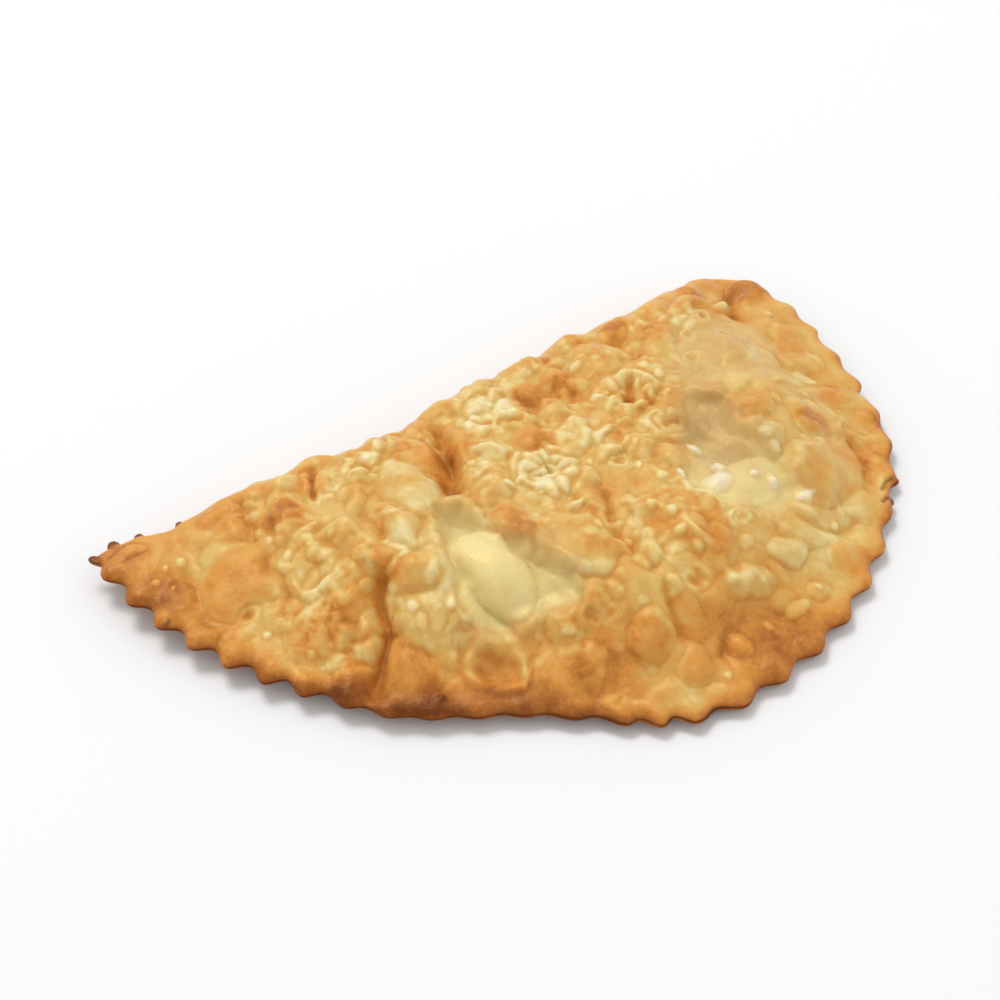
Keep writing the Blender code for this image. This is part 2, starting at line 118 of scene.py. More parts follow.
def edge_lift(x, y):
    """Height of the middle of the edge's thickness: the rim's own, or the fold's."""
    angle, _ = round_the_middle(x, y)
    arc_in, fold_in = in_from_edges(x, y)
    at_fold = smooth(4, 30, arc_in) * (1 - smooth(0, 14, fold_in))
    rim = curve(angle, RIM_LIFT_ANGLES, RIM_LIFTS)
    return rim + (FOLD_LIFT - rim) * at_fold


def filled_height(x, y):
    """The upper leaf before it blisters."""
    arc_in, fold_in = in_from_edges(x, y)
    edge = edge_lift(x, y) + RIM_THICKNESS / 2
    crown = CROWN - LEFT_TIP_DROP * smooth(-30, -92, x) - RIGHT_TIP_DROP * smooth(60, 92, x)
    shoulder = rounding(fold_in, FOLD_ROUND_TOP) * (0.68 + 0.32 * smooth(4, 34, fold_in))
    return edge + (crown - edge) * smooth(4, 34, arc_in) * shoulder


def under_height(x, y):
    """Flat on the table inside, curling up to the rim and the fold."""
    arc_in, fold_in = in_from_edges(x, y)
    inside = smooth(2, 16, arc_in) * rounding(fold_in, FOLD_ROUND_UNDER)
    return (edge_lift(x, y) - RIM_THICKNESS / 2) * (1 - inside)


# Blisters of the upper leaf: steam lifts the dough off the filling in the hot oil and the raised skin
# browns first. Each entry is x, y, length, width, turn in degrees, height and how browned it is, from -1
# for white to 1 for brown.
BLISTERS = (
    (-71, 24, 19, 19, 0, 1.8, 0.42), (-66, 37, 11, 8, 10, 1.9, 0.2), (-55, 32, 10, 9, 0, 2.0, 0.55),
    (-84, 28, 9, 12, 0, 1.0, 0.5), (-88, 45, 8, 4, 10, 0.8, -0.1), (-62, 3, 17, 16, 0, 2.2, 0.2),
    (-50, 41, 9, 6, 0, 1.3, -0.1), (-45, 37, 11, 9, 50, 1.8, 0.5), (-57, 15, 12, 11, 0, 1.6, 0.15),
    (-28, 22, 23, 13, 95, 3.0, -0.35), (-39, 26, 10, 6, 60, 1.8, 0.2), (-43, 7, 6, 7, 90, 1.6, 0.5),
    (-37, 9, 8, 8, 0, 1.4, -0.3), (-38, -1, 17, 10, -5, 3.0, 0.4), (-41, -11, 17, 14, -40, 2.4, -0.1),
    (-51, -16, 17, 12, -35, 1.8, 0.25), (-61, -13, 11, 12, 0, 1.8, 0.25), (-55, -7, 6, 6, 0, 1.8, -0.35),
    (-62, -6, 6, 5, 0, 1.2, -0.2), (-22, -35, 20, 13, -15, 2.8, 0.15), (-12, -27, 12, 6, -15, 1.4, 0.3),
    (-2, -39, 9, 9, 0, 2.6, 0.4), (-5, -13, 23, 16, 105, 2.8, -0.2), (-14, -1, 13, 10, 100, 2.4, 0.5),
    (-20, 31, 15, 11, 100, 2.6, 0.4), (-11, 29, 13, 7, 70, 2.0, 0.35), (-5, 21, 9, 7, -50, 1.8, -0.3),
    (-12, 11, 13, 9, 20, 1.6, 0.0), (3, 19, 9, 9, 0, 2.2, 0.5), (0, 38, 9, 8, 90, 2.0, -0.2),
    (5, 33, 8, 6, 80, 1.6, -0.2), (12, 35, 9, 8, 0, 1.7, 0.45), (14, 26, 9, 6, 80, 1.8, 0.05),
    (20, 37, 9, 9, 0, 2.2, 0.4), (31, 37, 16, 13, 20, 2.4, 0.1), (12, 15, 13, 9, 60, 2.0, -0.3),
    (33, 8, 13, 9, -60, 2.0, -0.15), (24, 4, 9, 8, 0, 1.5, 0.0), (49, 14, 8, 11, 10, 1.7, 0.1),
    (50, 37, 13, 9, 40, 1.4, 0.3), (62, 43, 17, 7, 12, 1.6, 0.3), (73, 42, 9, 5, 25, 2.0, -0.4),
    (84, 47, 10, 9, 0, 1.6, 0.5), (87, 34, 7, 9, 100, 1.2, 0.3), (81, 25, 16, 9, 55, 1.3, 0.35),
    (77, 13, 3.5, 6, 30, 0.9, -0.5), (66, 20, 7, 3, 25, 1.0, -0.6), (51, 16, 8, 9, 20, 1.6, 0.0),
    (79, 5, 14, 8, -15, 1.4, 0.2), (66, -4, 12, 8, 25, 1.5, 0.55), (84, -4, 5, 9, 0, 1.2, 0.3),
    (51, 3, 17, 9, 0, 1.6, 0.2), (62, -17, 25, 17, 5, 3.0, 0.3), (66, -27, 11, 10, 0, 1.6, 0.05),
    (8, -5, 10, 8, 0, 1.4, 0.1), (54, -38, 12, 11, 0, 2.4, 0.45), (39, -33, 11, 6, -5, 1.6, -0.3),
    (25, -37, 15, 7, -8, 1.8, -0.2), (16, -38, 8, 7, 0, 1.3, 0.1), (41, -43, 8, 6, 0, 1.2, 0.0),
    (17, -48, 5, 5, 0, 1.6, -0.1), (66, -36, 8, 8, 0, 1.2, 0.1), (34, -45, 5, 4, 0, 0.9, -0.4),
    (45, -30, 14, 8, 0, 1.2, 0.0), (5, -48, 9, 8, 0, 1.2, 0.3), (20, -20, 25, 18, -60, 2.2, 0.45),
    (-57, 44, 9, 6, 0, 1.5, 0.1), (-42, 43, 12, 7, 0, 1.8, 0.4), (-32, 41, 8, 6, 0, 1.2, 0.0),
    (-25, 41, 6, 6, 0, 1.0, 0.1), (-8, 44, 8, 7, 0, 1.5, 0.1), (3, 45, 9, 7, 0, 1.5, -0.1),
    (14, 45, 10, 7, 0, 1.5, 0.1), (22, 44, 6, 6, 0, 0.8, 0.3), (31, 46, 12, 7, 0, 1.8, 0.05),
    (43, 46, 8, 6, 0, 1.1, 0.35), (55, 47, 10, 7, 0, 1.3, 0.2), (67, 49, 9, 6, 0, 1.2, 0.3),
    (-68, 43, 8, 5, 0, 0.9, 0.3), (-17, 40, 7, 6, 0, 1.3, 0.3), (57, 15, 8, 5, 10, 1.4, -0.1),
    (82, 28, 9, 9, 40, 1.4, -0.1), (79, 19, 9, 8, 0, 1.4, 0.0), (47, 33, 9, 8, 0, 1.6, 0.0),
)
# Small pale knobs where a bubble's tip stayed thin: x, y and width; their height is a share of the width
KNOB_HEIGHT = 0.22
KNOBS = (
    (-87, 35, 2.2), (-83, 37, 2), (-79, 36, 3), (-84, 31, 1.8), (-59, 22, 3), (-36, 16, 4.6),
    (-35, 33, 5), (-39, 4, 4), (-43, -7, 3), (-36, -10, 3.4), (-34, -15, 3), (-31, -10, 3.4),
    (-16, -28, 3), (-6, 33, 3.4), (-4, 30.5, 3.6), (-3, 35, 3), (8, 27, 4.4), (5, 30, 3), (24, 24, 3.6),
    (26, 21, 2.8), (28, 18, 3.4), (31, 16, 3), (40, 28, 4.2), (41, 23, 3.4), (26, 36, 3.6), (36, -9, 4.6),
    (35, -1, 4.4), (42, -15, 2.8), (46, -18, 3.8), (52, -22, 4), (51, -6, 3.6), (51, -10, 3.8),
    (27, -8, 2.6), (15, -13, 3), (17, -18, 3), (16, -23, 3.6), (17, -28, 3), (1, -3, 3.6), (2, -12, 3),
    (3, -18, 3.4), (-15, -8, 3.6), (-13, -11, 3), (22, -6, 3), (20, 0, 2.6), (31, -54, 3.4),
    (25, -46, 2.6), (10, -52, 2.6), (41, -42, 3), (55, -29, 2.8), (-72, 8, 2.4), (-66, -2, 2.2),
    (-47, -26, 3), (-27, 38, 3), (-31, 37, 3.4), (-35, 38.5, 3.4), (-23, 38, 3), (58, 35, 3.4),
    (54, 40, 3.4), (72, 41, 3), (82, 36, 3), (-9, 9, 3), (-6, 9.5, 2.6),
)
# Glistening white knobs in the panes: x, y, length, width and turn
WHITE_KNOBS = (
    (33, -13, 8, 7, 0), (36, -9, 3.2, 4.4, 20), (35, -1, 3, 5.4, 20), (42, -15, 2.6, 2.2, 0),
    (46, -18.5, 4, 3, 20), (52, -22, 6, 2.2, 12), (27, -7, 2, 3, 0),
)
# Places that stayed smooth: x, y, radius and how smooth
CALM_PLACES = (
    (-86, 30, 15, 0.9), (-72, 25, 11, 0.9), (-74, 8, 9, 0.7), (16, -44, 16, 0.75), (35, -40, 16, 0.75),
    (52, -30, 16, 0.7), (62, -18, 14, 0.75), (80, 5, 14, 0.5), (80, 25, 10, 0.3), (62, 22, 15, 0.3),
    (-52, -20, 11, 0.8), (-22, -38, 12, 0.6), (-5, -12, 9, 0.3), (-28, 22, 9, 0.25), (33, 9, 7, 0.2),
    (-24, -10, 13, 1.0), (41, -10, 12, 0.9), (0, -48, 14, 0.6), (-33, -27, 9, 0.9), (72, -12, 9, 0.5),
)
# Blisters that fell in again: x, y, length, width, turn, height of the wall, depth of the dip, how many
# puckers stand round it, browning of the wall and of the dip
FALLEN_BLISTERS = (
    (-33, -26, 14, 13, -10, 1.5, 2.4, 0, -0.15, 0.2), (1, 9, 12, 13, 0, 2.2, 2.6, 10, -0.5, 0.3),
    (31, 21, 18, 14, -25, 2.2, 2.6, 11, -0.4, 0.25),
    (-56, 15, 9, 8, 0, 1.1, 0.8, 6, -0.2, 0.3), (17, 3.5, 4.6, 4, 0, 0.5, 0.6, 0, -0.2, 0.1),
    (52, 25, 4.4, 4, 0, 0.8, 0.9, 0, -0.3, 0.0), (32, -24.5, 3.8, 3.4, 0, 0.35, 0.3, 0, -0.2, 0.0),
    (-7, -31, 3.6, 3, 0, 0.25, 0.25, 0, -0.1, 0.1), (-73, 15, 7, 4, -5, 0.2, 0.7, 0, 0.0, 0.35),
    (-10.5, -29, 3, 4, 30, 0.25, 0.25, 0, -0.1, 0.1), (20, 10, 6, 4, 0, 0.8, 1.6, 5, -0.1, 0.6),
    (56, 33, 4, 3.4, 0, 0.6, 0.6, 0, -0.3, 0.1),
    (14, -33, 7, 5, -20, 0.3, 0.6, 0, -0.1, 0.3), (63, 37, 5, 3.4, 20, 0.6, 0.7, 0, -0.3, 0.2),
    (-3, 32, 8, 7, 40, 1.6, 1.2, 7, -0.6, 0.2), (34, 8, 8, 7, 0, 1.3, 0.8, 7, -0.4, 0.2),
    (-12, 19, 6, 5, 30, 1.0, 0.8, 5, -0.4, 0.3), (65, 30, 5, 4.4, 0, 1.1, 0.9, 0, -0.3, 0.0),
)
# Thin pale ridges left by burst and pleated skin: width, height, then the points they run through
RIDGES = (
    (1.2, 0.9, ((-48, 16), (-45, 16), (-44, 12), (-46, 6))), (1.0, 1.2, ((-17, 35), (-15, 33), (-15, 30))),
    (1.0, 1.2, ((-8, 24), (-6, 22), (-5, 19))), (1.0, 1.2, ((-10, 9), (-5, 9))),
    (0.9, 1.4, ((33, 27), (35, 28), (36, 24))), (0.9, 1.0, ((34, 22), (38, 21.5))),
    (1.0, 1.5, ((15, -12), (16, -17), (18, -20), (19, -27))), (1.0, 1.6, ((25, -9), (27, -13), (29, -19))),
    (0.9, 1.1, ((0, -2), (3, -4), (4.5, -8), (3.5, -13), (1, -16))), (0.9, 0.9, ((-35, -3), (-35, -16))),
    (0.9, 0.9, ((-28, -31), (-20, -30), (-15, -33), (-13, -38))), (1.0, 0.4, ((-67, 9), (-64, 3))),
    (1.0, 0.4, ((-61, 7), (-58, 2), (-58, -2))), (0.9, 0.9, ((12, 12), (15, 14), (20, 13))),
    (1.0, 0.8, ((21, -35), (30, -37))), (1.0, 1.0, ((51, -18), (56, -12), (65, -10))),
)
# Creases between blisters, also painted darker as shade: width, depth, then the points they run through
CREASES = (
    (2.0, 4.4, ((-46, 3), (-49, -1), (-51, -8), (-56, -13), (-61, -19))),
    (1.8, 4.6, ((-12, 37), (-14, 30), (-17, 23), (-19.5, 17))),
    (0.9, 2.2, ((-43, 39), (-45, 36), (-47, 32.5))),
    (1.6, 2.4, ((9, -4), (7, -9), (4, -17))), (1.4, 1.6, ((6, -20), (6, -27))),
    (2.2, 2.0, ((41, 34), (42, 38), (41, 42))), (1.0, 2.6, ((33, 24), (31, 21), (29.5, 18.5))),
    (1.0, 2.2, ((31, 14), (35, 16), (38, 18))), (1.6, 3.0, ((79, 46), (77.5, 42), (76, 38.5))),
    (1.8, 1.8, ((76, -9), (74.5, -15), (73.5, -21))), (1.6, 1.4, ((-80, 32), (-80.5, 26), (-82, 18))),
    (2.4, 2.0, ((17, 30), (22, 28))), (1.4, 1.6, ((6, -33), (5, -42))),
    (2.0, 1.4, ((13, -47), (20, -44), (30, -45))), (2.2, 1.6, ((37, 7), (38, 2), (40, -4))),
    (1.4, 1.4, ((-62, 40), (-61, 34), (-64, 31))), (1.3, 1.2, ((-66, 10), (-64, 16), (-63, 24))),
    (1.4, 1.3, ((-51, 24), (-50, 16), (-51, 8))), (1.2, 1.2, ((47, -27), (52, -30), (60, -31))),
    (1.4, 1.4, ((-40, 20), (-40, 12), (-36, 4))), (1.2, 1.1, ((8, 24), (9, 30), (8, 38))),
    (0.9, 1.5, ((-28.5, 4), (-30.5, -5), (-29.5, -13), (-26, -21))),
)
# Thin dough drawn down onto the soft filling: depth, how see-through, softness of the edge, then the outline
SUNKEN_PANES = (
    (3.2, 1.0, 1.8, ((-26, 12), (-21, 9), (-20, 3), (-18, -2), (-14, -7), (-11, -13), (-9.5, -20),
                     (-11, -25), (-18, -22.5), (-24, -21.5), (-30, -20.5), (-33.5, -18), (-34, -10),
                     (-32, -4), (-30, 1), (-29.5, 6))),
    (2.5, 0.8, 3.0, ((45, 15), (48, 8), (48.5, -3), (49, -10), (51, -16), (54, -22), (46, -24.5), (37, -23),
                     (30, -20.5), (28, -14), (28, -8), (32, -4), (35, 3), (39, 10))),
    (1.4, 0.35, 4.0, ((52, 34), (62, 37), (71, 36), (75, 28), (74, 19), (78, 12), (72, 9), (60, 11), (50, 9),
                      (46, 14), (47, 22), (44, 27))),
)
# The filling pushes the panes up again: x, y, length, width, turn, height
FILLING_BULGES = (
    (-23.8, -8.4, 26, 14, 96, 4.8), (39, -16, 23, 14, 0, 1.8),
    (-12, -20, 6, 7, 0, 0.5), (60, 24, 16, 12, 0, 0.7), (-31.8, -14, 9, 5, 90, 0.9),
)
# Painted shade of the panes: greyish spots where the crust round them shades them, partly the grey of thin
# dough over the filling: x, y, radius, strength
PANE_SHADE_SPOTS = (
    (-24, 8, 7, 0.4), (-17, -2, 4.5, 0.3), (-14, -10, 6, 0.65), (-11.5, -19, 5, 0.55),
    (-33, -17, 4.5, 0.4), (-22, -22, 5, 0.35), (43, -6, 9, 0.9), (45, 10, 6, 0.8), (42, 4, 8, 1.0),
    (30, -6, 3, 0.35), (61, 25, 11, 0.5), (49, 20, 6, 0.5), (66, 14, 6, 0.25), (36, -20, 4, 0.3),
)
# Broad browned and pale stretches, some of them painted shade in hollows and creases, as at 42, 4 and -58.5,
# -17.5: x, y, radius, browning
STRETCHES = (
    (-89, 38, 12, 0.5), (-83, 19, 11, 0.4), (16, -47, 11, 0.6), (30, -47, 9, 0.5),
    (-58.5, -17.5, 4.5, 1.6), (-14, -45, 12, 0.1), (77, -14, 6, 0.5), (80, 46, 7, 0.1), (85, 9, 8, 0.25),
    (-30, 22, 9, 0.25), (-6, -13, 9, 0.45), (54, -30, 12, -0.15), (35, -34, 8, 0.0), (62, 24, 14, 0.5),
    (42, 4, 8, 0.7), (-15, 29, 5, 0.3), (54, -38, 7, -0.3), (14, 31, 8, 0.4), (45, 38, 7, 0.05),
    (-45, -24, 12, 0.3), (-57, 30, 6, 0.15), (1, 40, 9, -0.35), (60, 40, 9, -0.3), (48, 30, 6, -0.2),
    (-46, 42, 7, -0.4), (70, 44, 11, 0.35), (-38, -35, 9, 0.7), (-60, -2, 8, 0.4), (-74, 24, 10, -0.25),
    (9, -5, 6, 0.15), (62, -17, 9, -0.15), (47, -48, 7, -0.15), (-37, 0, 7, -0.7), (0, 8, 5, -0.8),
    (-14, -38, 12, 0.48), (0, -55, 9, -0.3), (22, -56, 6, 0.4), (-65, 41, 8, 0.25), (22, -18, 8, -0.3),
    (13, 40, 8, -0.1),
)
# Crowds of small bubbles: x, y, length, width, turn, how many, and their smallest and largest radius
CROWDS = (
    (-30, 36, 34, 12, 0, 110, 0.7, 1.9), (6, 38, 40, 14, 8, 150, 0.7, 2.0),
    (40, 42, 46, 14, 5, 130, 0.7, 1.9), (12, 22, 44, 24, -10, 170, 0.7, 2.1),
    (-4, 0, 30, 34, 0, 110, 0.6, 1.7), (-40, -8, 18, 30, 0, 80, 0.6, 1.6),
    (-60, 20, 24, 36, 0, 80, 0.6, 1.6), (22, -20, 26, 34, 0, 110, 0.7, 1.9),
    (-18, -32, 34, 16, -15, 60, 0.5, 1.3), (58, 24, 34, 34, 0, 70, 0.6, 1.5),
    (50, -28, 40, 22, 20, 80, 0.6, 1.6), (20, -48, 50, 16, 8, 80, 0.5, 1.3),
    (-84, 34, 20, 20, 0, 50, 0.4, 1.1), (74, 2, 22, 50, 0, 60, 0.6, 1.5),
    (-58, -2, 18, 22, 0, 60, 0.5, 1.2), (28, 2, 22, 26, 0, 80, 0.6, 1.6),
    (-66, -4, 34, 24, -50, 60, 0.4, 1.0), (-60, 3, 16, 14, 0, 30, 0.6, 1.6),
    (62, 26, 26, 18, 0, 30, 0.8, 1.8),
)
# Bubbles strewn over the whole leaf: seed, how many, smallest and largest radius, and height for each
# millimetre of radius
MIDDLING_BUBBLES = (11, 460, 1.8, 5.0, 0.46)
SMALL_BUBBLES = (23, 800, 0.8, 2.6, 0.26)
CROWD_STEEPNESS = 0.27
WHOLE_LEAF = (0.0, -4.0, 190.0, 116.0, 0.0)


def turned(x, y, cx, cy, turn):
    """How far along and across a turned direction from a middle."""
    c = math.cos(math.radians(turn))
    s = math.sin(math.radians(turn))
    return (x - cx) * c + (y - cy) * s, (y - cy) * c - (x - cx) * s


def in_oval(x, y, cx, cy, length, width, turn, unevenness=0.0, seed=0):
    """0 at the middle of a turned oval and 1 on its edge, which can be made uneven; also the way round."""
    along, across = turned(x, y, cx, cy, turn)
    way = np.arctan2(across, along)
    draw = np.random.RandomState(seed)
    bulging = 1.0
    for wave in (2, 3, 4, 5, 7):
        share = unevenness / wave * draw.uniform(0.5, 1.5)
        bulging = bulging + share * np.cos(wave * way + draw.uniform(0, 6.3))
    return np.hypot(along / (length / 2), across / (width / 2)) / bulging, way


def off_line(x, y, points):
    """Distance from a line of several points."""
    best = np.full(x.shape, 1e9)
    for (ax, ay), (bx, by) in zip(points, points[1:]):
        run = (bx - ax) ** 2 + (by - ay) ** 2
        t = np.clip(((x - ax) * (bx - ax) + (y - ay) * (by - ay)) / run, 0.0, 1.0)
        best = np.minimum(best, np.hypot(x - ax - t * (bx - ax), y - ay - t * (by - ay)))
    return best


def in_outline(x, y, points):
    """Distance in from a closed outline, negative outside it."""
    inside = np.zeros(x.shape, bool)
    for (ax, ay), (bx, by) in zip(points, points[1:] + points[:1]):
        between = (ay > y) != (by > y)
        rise = by - ay if by != ay else 1e-9
        inside ^= between & (x < ax + (y - ay) * (bx - ax) / rise)
    return np.where(inside, 1.0, -1.0) * off_line(x, y, points + points[:1])


def join(a, b, soft=0.5):
    """The higher of two surfaces, softened where they meet."""
    return np.maximum(a, b) + np.maximum(soft - np.abs(a - b), 0.0) ** 2 / (4 * soft)


def swell(x, y, size, seed):
    """Gentle unevenness of about the given size, between -1 and 1."""
    draw = np.random.RandomState(seed)
    total = np.zeros(np.shape(x))
    for _ in range(7):
        way = draw.uniform(0, 2 * math.pi)
        wave = 2 * math.pi / (size * draw.uniform(0.8, 1.6))
        total += np.sin(wave * (x * math.cos(way) + y * math.sin(way)) + draw.uniform(0, 2 * math.pi))
    return total / 3.5


def strewn_bubbles(seed, count, low, high, steepness, place=WHOLE_LEAF):
    """Bubbles drawn at random over an oval; some stayed pale, some browned."""
    draw = np.random.RandomState(seed)
    cx, cy, length, width, turn = place
    for _ in range(count):
        way = draw.uniform(0, 2 * math.pi)
        out = math.sqrt(draw.uniform()) / 2
        along, across = length * out * math.cos(way), width * out * math.sin(way)
        c, s = math.cos(math.radians(turn)), math.sin(math.radians(turn))
        radius = low + (high - low) * draw.uniform() ** 2
        tint = draw.uniform(-0.55, 0.45)
        yield (cx + along * c - across * s, cy + along * s + across * c, 2 * radius,
               2 * radius * draw.uniform(0.7, 1.0), draw.uniform(0, 180), steepness * radius, tint)


def raise_blisters(x, y, skin, browning_and_shade, blisters, fullness, soft, unevenness):
    """Add blisters to the skin's height and browning, one after the other."""
    for number, (cx, cy, length, width, turn, height, brown) in enumerate(blisters):
        span = 0.62 * max(length, width)
        near = np.nonzero((np.abs(x - cx) < span) & (np.abs(y - cy) < span))[0]
        d, _ = in_oval(x[near], y[near], cx, cy, length, width, turn, unevenness, number)
        whole = np.clip(1 - d * d, 0, 1)
        skin[near] = join(skin[near], height * whole ** fullness, soft * (d < 1) + 1e-6)
        browning_and_shade[near] += brown * smooth(0, 0.45, whole)


def puckered_ring(fallen, seed):
    """The puckers round a fallen blister: rounded folds that point at its middle."""
    cx, cy, length, width, turn, wall, _, puckers, brown, _ = fallen
    draw = np.random.RandomState(seed)
    c, s = math.cos(math.radians(turn)), math.sin(math.radians(turn))
    for number in range(puckers):
        way = 2 * math.pi * (number + draw.uniform(-0.25, 0.25)) / puckers
        out = draw.uniform(0.66, 0.86)
        along, across = out * length / 2 * math.cos(way), out * width / 2 * math.sin(way)
        fold = out * math.pi * (length + width) / 2 / puckers * draw.uniform(0.8, 1.3)
        yield (cx + along * c - across * s, cy + along * s + across * c, fold * draw.uniform(1.1, 1.9), fold,
               turn + math.degrees(math.atan2(across, along)), wall * draw.uniform(0.5, 0.9),
               brown * draw.uniform(0.2, 0.9))


def blistered_leaf(x, y):
    """The blistered skin: height, the small bubbles' share of it, browning with painted shade, see-through,
    painted shade of the panes, white.
    """
    wx = x + 0.7 * swell(x, y, 11, 3) + 0.15 * swell(x, y, 4.5, 5)
    wy = y + 0.7 * swell(x, y, 11, 4) + 0.15 * swell(x, y, 4.5, 6)
    calm = np.zeros(np.shape(x))
    for cx, cy, radius, strength in CALM_PLACES:
        calm = np.maximum(calm, strength * np.exp(-(np.hypot(x - cx, y - cy) / radius) ** 4))
    skin = np.zeros(np.shape(x))
    browning_and_shade = np.zeros(np.shape(x))
    pane = np.zeros(np.shape(x))
    # Middling bubbles stand all over the leaf, fainter where it stayed smooth, and the large ones over them.
    raise_blisters(wx, wy, skin, browning_and_shade, strewn_bubbles(*MIDDLING_BUBBLES), 0.95, 0.5, 0.08)
    skin *= 1 - 0.8 * calm
    browning_and_shade *= 0.4 * (1 - calm)
    raise_blisters(wx, wy, skin, browning_and_shade, BLISTERS, 0.85, 0.8, 0.08)
    # A fallen blister wipes out what is under it and leaves a wall round a folded dip.
    for number, fallen in enumerate(FALLEN_BLISTERS):
        cx, cy, length, width, turn, wall, dip, puckers, wall_brown, dip_brown = fallen
        d, _ = in_oval(wx, wy, cx, cy, length, width, turn, 0.08, 60 + number)
        standing = wall * (0.6 if puckers else 0.8)
        bowl = standing * smooth(1.3, 0.78, d) - (dip + 0.5 * standing) * smooth(0.9, 0.0, d)
        folds = (0.22 + 0.1 * dip) * min(length / 12, 1)
        bowl = bowl + folds * swell(x, y, 0.3 * length, 110 + number) * smooth(1.15, 0.8, d)
        inside = smooth(1.3, 0.95, d)
        skin = skin * (1 - inside) + bowl * inside
        browning_and_shade = browning_and_shade * (1 - inside) + dip_brown * smooth(0.9, 0.25, d)
        if puckers:
            ring = puckered_ring(fallen, 200 + number)
            raise_blisters(wx, wy, skin, browning_and_shade, ring, 0.8, 0.5, 0.05)
        else:
            browning_and_shade = browning_and_shade + wall_brown * np.exp(-((d - 0.85) / 0.18) ** 2)
        calm = np.maximum(calm, 0.8 * inside)
    # A pane is drawn down flat with a thin lip round it, and the filling pushes it up again in places.
    lip = np.zeros(np.shape(x))
    for depth, clear, soft, outline in SUNKEN_PANES:
        within = in_outline(wx, wy, outline)
        floor = smooth(-soft, soft + 1.4, within)
        skin = skin * (1 - 0.95 * floor * math.sqrt(clear)) - depth * floor
        pane = np.maximum(pane, clear * smooth(-0.8 * soft, 1.1 * soft, within))
        lip = lip + clear * np.exp(-((within + 1.0) / 0.9) ** 2) * (0.5 + 0.5 * swell(x, y, 8, 51))
    pushed = np.zeros(np.shape(x))
    for cx, cy, length, width, turn, height in FILLING_BULGES:
        d, _ = in_oval(x, y, cx, cy, length, width, turn, 0.04, 5)
        whole = np.clip(1 - d * d, 0, 1) ** 0.75
        skin = skin + height * whole
        pushed = np.maximum(pushed, min(height / 3, 1) * smooth(0, 0.35, whole))
    for width, height, points in RIDGES:
        off = off_line(wx, wy, points) / (1.4 * width)
        knobbly = 0.5 + 0.5 * swell(x, y, 3.0, 81)
        skin = skin + 0.75 * height * np.exp(-off ** 2) * (0.4 + 0.6 * knobbly)
        browning_and_shade = browning_and_shade - 0.32 * np.exp(-off ** 2) * knobbly
    for width, depth, points in CREASES:
        near = np.exp(-(off_line(wx, wy, points) / (1.35 * width)) ** 1.5)
        skin = skin - depth * near
        # Painted shade: each crease is also coloured browner.
        browning_and_shade = browning_and_shade + 0.15 * depth * near
    for cx, cy, width in KNOBS:
        d = np.hypot(wx - cx, wy - cy) / (width / 2)
        skin = skin + KNOB_HEIGHT * width * np.clip(1 - d * d, 0, 1)
        browning_and_shade = browning_and_shade - 0.45 * smooth(1.0, 0.3, d)
    # The smallest bubbles are kept apart, because the rim holds them down less than the rest.
    small = np.zeros(np.shape(x))
    small_brown = np.zeros(np.shape(x))
    raise_blisters(wx, wy, small, small_brown, strewn_bubbles(*SMALL_BUBBLES), 0.85, 0.15, 0.06)
    for number, (cx, cy, length, width, turn, count, low, high) in enumerate(CROWDS):
        place = (cx, cy, length, width, turn)
        crowd = strewn_bubbles(30 + number, count, 1.1 * low, 1.3 * high, CROWD_STEEPNESS, place)
        raise_blisters(wx, wy, small, small_brown, crowd, 0.8, 0.15, 0.06)
    plain = (1 - 0.85 * pane) * (1 - calm)
    small = small * plain
    uneven = 0.32 * swell(x, y, 7, 9) * (1 - 0.6 * np.maximum(calm, pane)) + 0.5 * swell(x, y, 15, 8)
    skin = skin + 0.75 * small + uneven + 0.3 * lip
    # Small bubbles add their own browning, and the panes' lip is painted paler as a highlight along its edge.
    browning_and_shade = browning_and_shade + 0.5 * np.clip(small_brown, -0.7, 0.5) * plain - 0.15 * lip
    white = np.zeros(np.shape(x))
    for cx, cy, length, width, turn in WHITE_KNOBS:
        d, _ = in_oval(x, y, cx, cy, length, width, turn)
        skin = skin + KNOB_HEIGHT * width * np.clip(1 - d * d, 0, 1)
        white = np.maximum(white, smooth(1.1, 0.5, d))
    white = np.maximum(white, 0.08 * pushed * pane)
    # Browned and pale stretches; some of them are painted shade in hollows and creases.
    for cx, cy, radius, brown in STRETCHES:
        browning_and_shade = browning_and_shade + brown * np.exp(-(np.hypot(wx - cx, wy - cy) / radius) ** 2)
    # Painted shade in the panes' hollows, held back where the filling pushes the pane up.
    deep = np.zeros(np.shape(x))
    for cx, cy, radius, strength in PANE_SHADE_SPOTS:
        deep = np.maximum(deep, strength * np.exp(-(np.hypot(wx - cx, wy - cy) / radius) ** 2))
    deep = deep * (1 - 0.85 * pushed)
    return skin, small, browning_and_shade, pane, deep, white


# The sealed rim: the two leaves are pressed together along the arc and cut with a fluted wheel, so the
# edge is scalloped with a fine seam round its side. Curls of the lower leaf stick out at both ends, and
# the rim browned unevenly: darkest at the front left and widest at the front right.

# Which flute stands at an angle round the arc, and how deep the flutes are there
FLUTE_ANGLES = (180.0, 217.5, 261.0, 269.0, 319.0, 360.0)
FLUTE_COUNTS = (-0.4, 6.0, 13.0, 15.0, 23.0, 30.0)
FLUTE_DEPTH_ANGLES = (180.0, 215.0, 232.0, 252.0, 266.0, 300.0, 322.0, 360.0)
FLUTE_DEPTHS = (1.4, 1.5, 0.4, 0.4, 1.2, 1.2, 0.6, 0.7)
# How much a flute puffs up, how far the very edge bends down, how round the corners of the tips are, and
# the length of edge over which its outward direction is evened out
FLUTE_PUFF = 0.4
EDGE_DROP = 0.8
CORNER_ROUND = 2.0
DIRECTION_SPAN = 7.0
# How far the seam between the leaves cuts in
SEAM_DEPTH = 0.6
